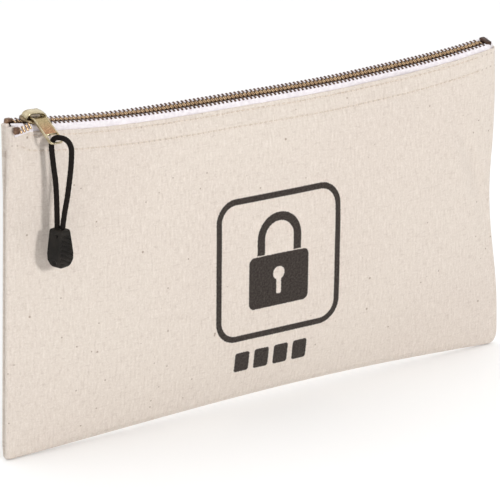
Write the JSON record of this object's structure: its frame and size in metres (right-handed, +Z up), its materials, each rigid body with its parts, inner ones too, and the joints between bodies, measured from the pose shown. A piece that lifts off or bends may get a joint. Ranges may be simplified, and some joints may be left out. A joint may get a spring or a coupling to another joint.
{
  "type": "cash deposit bag",
  "caption": "Flat rectangular canvas bag with a metal zip along its top edge, a brass slider with a tab, and a black cord pull with a moulded grip.",
  "frame": {"origin": "under the middle of the bag, on the surface its bottom fold stands on", "axes": "+X along the zip from its closed end to its open end, -Y out of the front face, +Z up"},
  "size_m": [0.322, 0.0398, 0.1837],
  "materials": {
    "canvas": "natural cotton canvas",
    "zip_tape": "woven white tape",
    "thread": "cotton thread",
    "tooth_metal": "antique brass",
    "slider_metal": "pale gold, satin",
    "stop_metal": "dark brown",
    "cord": "black braided cord",
    "grip": "matt black"
  },
  "bodies": {
    "front_half": {"front_panel": "canvas", "front_zip_tape": "zip_tape", "front_teeth": "tooth_metal", "front_top_stop": "tooth_metal", "back_top_stop": "tooth_metal", "bottom_stop": "stop_metal", "front_upper_stitching": "thread", "front_lower_stitching": "thread", "left_seam_thread": "thread", "right_seam_thread": "thread", "bottom_seam_thread": "thread"},
    "back_half": {"back_panel": "canvas", "back_zip_tape": "zip_tape", "back_teeth": "tooth_metal", "back_upper_stitching": "thread", "back_lower_stitching": "thread"},
    "slider": {"slider_body": "slider_metal", "slider_bail": "slider_metal"},
    "tab": {"pull_tab": "slider_metal"},
    "pull": {"pull_cord": "cord", "cord_grip": "grip"}
  },
  "joints": [
    {"name": "zip_travel", "type": "hinge", "parent": "front_half", "child": "slider", "pos_m": [0, 0.006, 1.55633], "axis": [0, -1, 0], "range_deg": [0, 11.5], "deforming": ["front_teeth", "front_zip_tape"]},
    {"name": "mouth_open", "type": "hinge", "parent": "front_half", "child": "back_half", "pos_m": [0, 0.0075, 0], "axis": [-1, 0, 0], "range_deg": [0, 15.1], "deforming": ["back_teeth", "back_zip_tape"]},
    {"name": "tab_swing", "type": "hinge", "parent": "slider", "child": "tab", "pos_m": [-0.13898, 0.00491, 0.18134], "axis": [0.9949, 0, -0.1006], "range_deg": [-226, 0]},
    {"name": "cord_swing", "type": "hinge", "parent": "tab", "child": "pull", "pos_m": [-0.1363, -0.01323, 0.16896], "axis": [1, 0, 0], "range_deg": [-130, 3], "deforming": ["pull_cord"]}
  ],
  "couplings": [
    {"joint": "mouth_open", "follows": "zip_travel", "ratio": 1.31}
  ]
}
